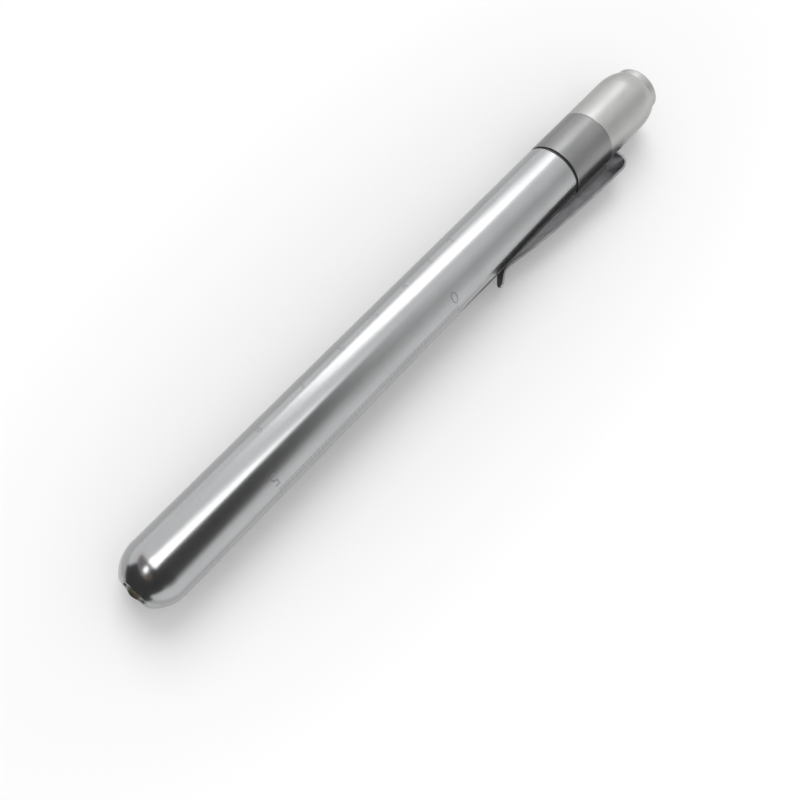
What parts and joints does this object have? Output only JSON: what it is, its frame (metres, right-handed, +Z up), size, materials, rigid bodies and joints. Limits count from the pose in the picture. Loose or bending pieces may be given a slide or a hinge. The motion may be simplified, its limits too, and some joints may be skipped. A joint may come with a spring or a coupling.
{
  "type": "penlight",
  "caption": "Slim metal pocket torch: round-nosed barrel with a domed lamp, screwed tail end, press button and a bent spring clip.",
  "frame": {"origin": "middle of the footprint of the penlight as it lies on its side, on the floor", "axes": "+X along the barrel from the nose to the end button, +Z up, the clip leans down towards -Y"},
  "size_m": [0.1508, 0.0167, 0.013],
  "materials": {
    "barrel_polish": "polished",
    "cap_satin": "satin",
    "band_satin": "satin grey",
    "clip_steel": "dark bright spring steel",
    "lens_clear": "clear moulded",
    "lead_tin": "tinned",
    "holder_plastic": "moulded",
    "contact_brass": "plain",
    "cell_steel": "plated",
    "cell_jacket": "shrunk film",
    "spring_wire": "drawn wire",
    "switch_plastic": "moulded",
    "seal_rubber": "matte"
  },
  "bodies": {
    "barrel": {"barrel": "barrel_polish", "led_lens": "lens_clear", "led_leads": "lead_tin", "led_holder": "holder_plastic", "anode_contact": "contact_brass", "cathode_ring": "lead_tin", "front_cell_can": "cell_steel", "front_cell_jacket": "cell_jacket", "rear_cell_can": "cell_steel", "rear_cell_jacket": "cell_jacket"},
    "seal": {"seal_ring": "seal_rubber"},
    "tail": {"tail_cap": "cap_satin", "clip_band": "band_satin", "clip_foot": "clip_steel", "switch_housing": "switch_plastic", "spring_cup": "contact_brass", "battery_spring": "spring_wire", "lock_ring": "contact_brass", "button_spring": "spring_wire"},
    "button": {"push_button": "cap_satin", "contact_pin": "contact_brass", "circlip": "spring_wire"},
    "clip": {"pocket_clip": "clip_steel"}
  },
  "joints": [
    {"name": "tail_travel", "type": "slide", "parent": "barrel", "child": "seal", "axis": [1, 0, 0], "range_m": [0, 0.0075]},
    {"name": "tail_turn", "type": "hinge", "parent": "seal", "child": "tail", "pos_m": [0.04, 0.00185, 0.0065], "axis": [1, 0, 0], "range_deg": [0, 2160]},
    {"name": "button_press", "type": "slide", "parent": "tail", "child": "button", "axis": [-1, 0, 0], "range_m": [0, 0.00115], "stiffness_N_per_m": 800, "springref_m": -0.0015, "deforming": ["button_spring"]},
    {"name": "clip_flex", "type": "hinge", "parent": "tail", "child": "clip", "pos_m": [0.05795, -0.00322, 0.00456], "axis": [0, -0.358, 0.9337], "range_deg": [0, 6], "stiffness_Nm_per_rad": 1, "springref_deg": -1.72}
  ],
  "couplings": [
    {"joint": "tail_travel", "follows": "tail_turn", "m_per_rad": 0.00019894}
  ]
}
